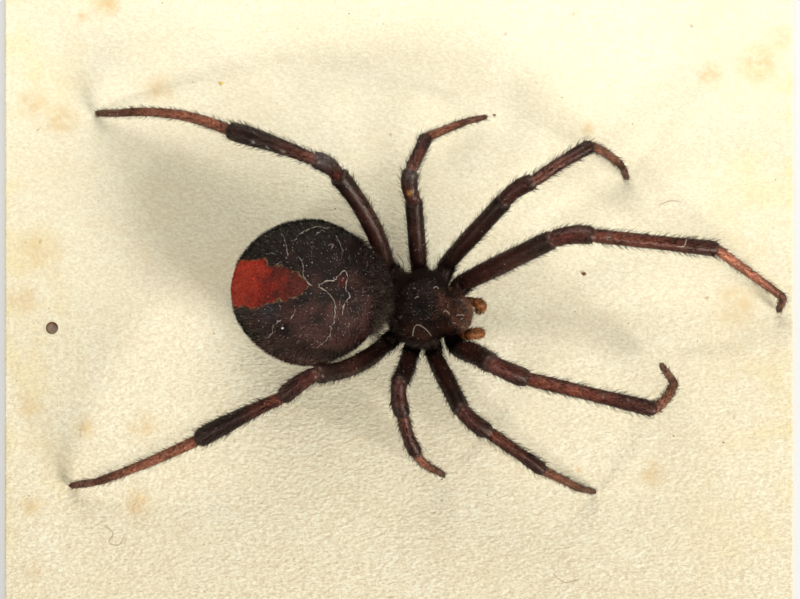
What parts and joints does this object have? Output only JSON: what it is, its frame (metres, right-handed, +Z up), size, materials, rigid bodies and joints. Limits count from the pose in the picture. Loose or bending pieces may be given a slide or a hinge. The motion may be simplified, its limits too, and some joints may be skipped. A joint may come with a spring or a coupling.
{
  "type": "katipo spider specimen on a mounting card",
  "caption": "Preserved katipo spider, legs spread and arched, round abdomen with a dorsal stripe, resting on a small flat paper mounting card with a pinhole",
  "frame": {"origin": "centre of the card's footprint, on the card's underside, where the specimen rests", "axes": "+X along the card's long side, the way the spider's head points; +Y to the spider's left; +Z up"},
  "size_m": [0.0276, 0.024, 0.0067],
  "materials": {
    "card": "matt aged cream card, fibrous, a little stained",
    "abdomen": "near-black satin skin with a red stripe and fine pale lines, short dark hairs",
    "cuticle_black": "near-black brown satin cuticle with short hairs",
    "cuticle_red": "dark red-brown satin cuticle, black at the joints, short hairs",
    "cuticle_brick": "brick-red to brown satin cuticle, short hairs",
    "cuticle_brown": "red-brown satin cuticle",
    "cuticle_orange": "orange-brown satin cuticle with short hairs",
    "eye": "wet-looking black lens"
  },
  "bodies": {
    "root": {"mounting_card": "card", "abdomen": "abdomen", "spinnerets": "cuticle_brown", "pedicel": "cuticle_black", "carapace": "cuticle_black", "sternum": "cuticle_black", "mouthparts": "cuticle_brown", "chelicera_left": "cuticle_brown", "chelicera_right": "cuticle_brown", "palp_left": "cuticle_orange", "palp_right": "cuticle_orange", "eye_rear_middle_left": "eye", "eye_rear_middle_right": "eye", "eye_rear_side_left": "eye", "eye_rear_side_right": "eye", "eye_front_middle_left": "eye", "eye_front_middle_right": "eye", "eye_front_side_left": "eye", "eye_front_side_right": "eye", "leg_left_1_coxa": "cuticle_black", "leg_left_1_femur": "cuticle_black", "leg_left_2_coxa": "cuticle_black", "leg_left_2_femur": "cuticle_black", "leg_left_3_coxa": "cuticle_black", "leg_left_3_femur": "cuticle_black", "leg_left_4_coxa": "cuticle_black", "leg_left_4_femur": "cuticle_black", "leg_right_1_coxa": "cuticle_black", "leg_right_1_femur": "cuticle_black", "leg_right_2_coxa": "cuticle_black", "leg_right_2_femur": "cuticle_black", "leg_right_3_coxa": "cuticle_black", "leg_right_3_femur": "cuticle_black", "leg_right_4_coxa": "cuticle_black", "leg_right_4_femur": "cuticle_black", "leg_left_1_patella": "cuticle_red", "leg_left_1_tibia": "cuticle_red", "leg_left_2_patella": "cuticle_red", "leg_left_2_tibia": "cuticle_red", "leg_left_3_patella": "cuticle_red", "leg_left_3_tibia": "cuticle_red", "leg_left_4_patella": "cuticle_red", "leg_left_4_tibia": "cuticle_red", "leg_right_1_patella": "cuticle_red", "leg_right_1_tibia": "cuticle_red", "leg_right_2_patella": "cuticle_red", "leg_right_2_tibia": "cuticle_red", "leg_right_3_patella": "cuticle_red", "leg_right_3_tibia": "cuticle_red", "leg_right_4_patella": "cuticle_red", "leg_right_4_tibia": "cuticle_red", "leg_left_1_foot": "cuticle_brick", "leg_left_2_foot": "cuticle_brick", "leg_left_3_foot": "cuticle_brick", "leg_left_4_foot": "cuticle_brick", "leg_right_1_foot": "cuticle_brick", "leg_right_2_foot": "cuticle_brick", "leg_right_3_foot": "cuticle_brick", "leg_right_4_foot": "cuticle_brick"}
  },
  "joints": []
}
